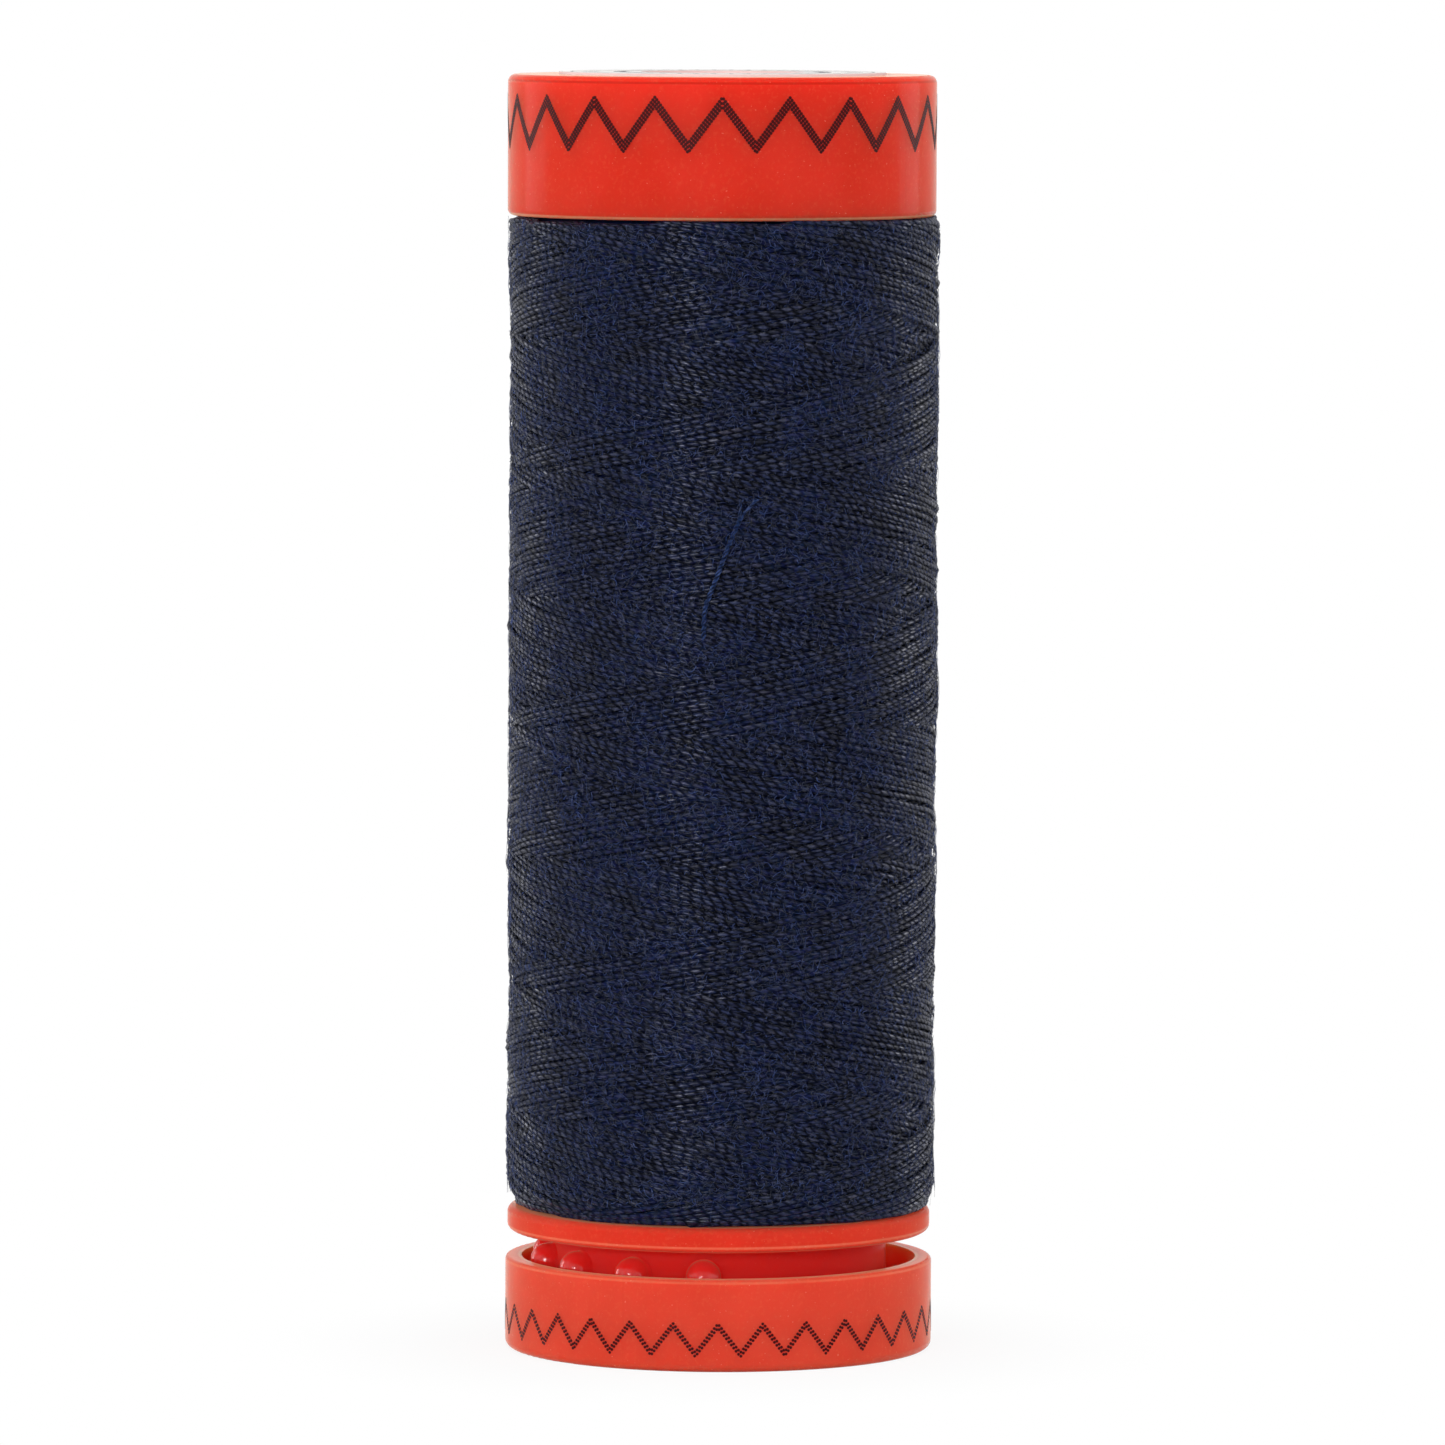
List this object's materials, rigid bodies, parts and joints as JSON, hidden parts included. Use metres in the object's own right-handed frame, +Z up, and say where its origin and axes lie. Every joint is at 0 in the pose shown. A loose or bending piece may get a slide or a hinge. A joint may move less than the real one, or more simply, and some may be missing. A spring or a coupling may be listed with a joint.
{
  "type": "spool of sewing thread",
  "caption": "Thread spool: a hollow moulded barrel with a closed head and a slide-open snap base that nips the thread's end, wound with cross-laid sewing thread.",
  "frame": {"origin": "centre of the snap base's underside, on the spool's axis", "axes": "+Z runs up the spool's axis from the base to the head; -Y is the front, which the thread's loose end faces, and +X is to the right as seen from the front"},
  "size_m": [0.021, 0.0212, 0.0627],
  "materials": {
    "red_plastic": "satin moulded polypropylene, slightly translucent",
    "paper": "uncoated label paper",
    "thread": "spun polyester sewing thread, matte with fine fuzz"
  },
  "bodies": {
    "spool": {"barrel": "red_plastic", "head_cap": "red_plastic", "top_label": "paper", "thread_core": "thread", "thread_turns": "thread", "thread_tail": "thread"},
    "base": {"snap_base": "red_plastic", "base_label": "paper"}
  },
  "joints": [
    {"name": "base_slide", "type": "slide", "parent": "spool", "child": "base", "axis": [0, 0, 1], "range_m": [0, 0.00125]}
  ]
}
